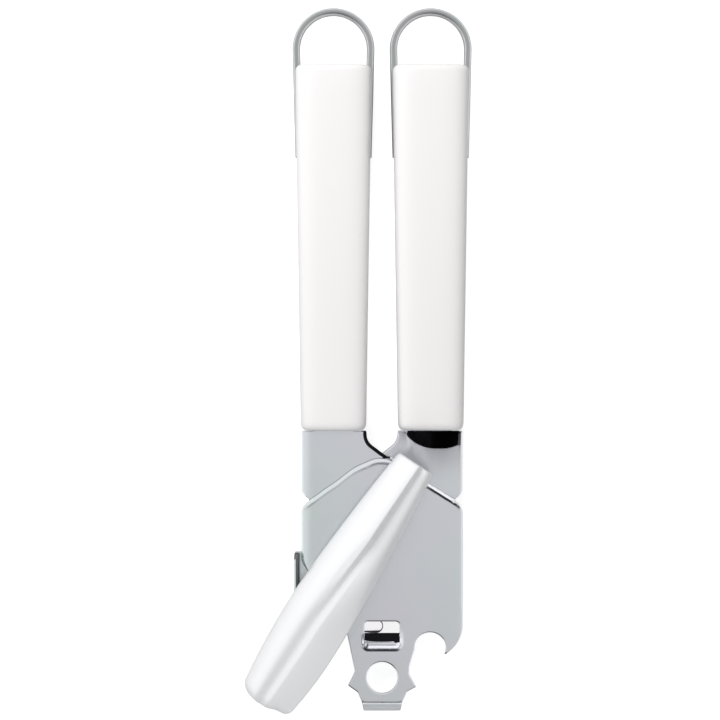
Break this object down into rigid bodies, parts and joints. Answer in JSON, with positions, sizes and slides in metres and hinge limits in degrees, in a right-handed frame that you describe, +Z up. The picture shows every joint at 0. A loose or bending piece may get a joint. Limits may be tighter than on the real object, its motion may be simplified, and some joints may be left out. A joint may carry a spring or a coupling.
{
  "type": "manual can opener",
  "caption": "Hand-held can opener: two gripped steel levers on a rivet, a toothed feed wheel turned by a long key, a round cutter, a bottle hook and a ring hole.",
  "frame": {"origin": "centre of the opener's bounding box in X and Y, at the surface it lies on with its key upwards", "axes": "+X across the levers, from the left grip to the right grip; +Y along the levers towards the grips and hanging loops; +Z up, from the cutter's side to the key's side"},
  "size_m": [0.0674, 0.2098, 0.0297],
  "materials": {
    "white_plastic": "smooth glossy moulded plastic",
    "core_plastic": "plain moulded plastic, hidden inside the grips",
    "stainless_sheet": "satin rolled stainless sheet with bright pressed edges",
    "loop_steel": "drawn steel band, satin, brighter along its middle",
    "turned_steel": "machine-turned and polished steel",
    "blade_steel": "hardened steel, ground on its bevels"
  },
  "bodies": {
    "front": {"front_lever": "stainless_sheet", "pivot_rivet": "turned_steel", "pivot_spacer": "turned_steel", "pivot_washer": "turned_steel", "spindle_bush": "turned_steel", "left_handle_sleeve": "white_plastic", "left_handle_core": "core_plastic", "left_hanging_loop": "loop_steel", "left_tang_pins": "turned_steel"},
    "rear": {"rear_lever": "stainless_sheet", "cutter_axle": "turned_steel", "cutter_spacer": "turned_steel", "right_handle_sleeve": "white_plastic", "right_handle_core": "core_plastic", "right_hanging_loop": "loop_steel", "right_tang_pins": "turned_steel"},
    "key": {"turning_key": "white_plastic", "key_insert": "turned_steel", "key_spindle": "turned_steel", "thrust_washer": "turned_steel", "feed_wheel": "blade_steel", "feed_wheel_washer": "turned_steel"},
    "cutter": {"cutter_wheel": "blade_steel"}
  },
  "joints": [
    {"name": "lever_hinge", "type": "hinge", "parent": "front", "child": "rear", "pos_m": [0.00681, -0.0427, 0.0047], "axis": [0, 0, -1], "range_deg": [0, 35]},
    {"name": "key_turn", "type": "hinge", "parent": "front", "child": "key", "pos_m": [-0.0043, -0.06489, 0.0085], "axis": [0, 0, 1], "continuous": true},
    {"name": "cutter_spin", "type": "hinge", "parent": "rear", "child": "cutter", "pos_m": [-0.0113, -0.05789, 0.0009], "axis": [0, 0, 1], "continuous": true}
  ]
}
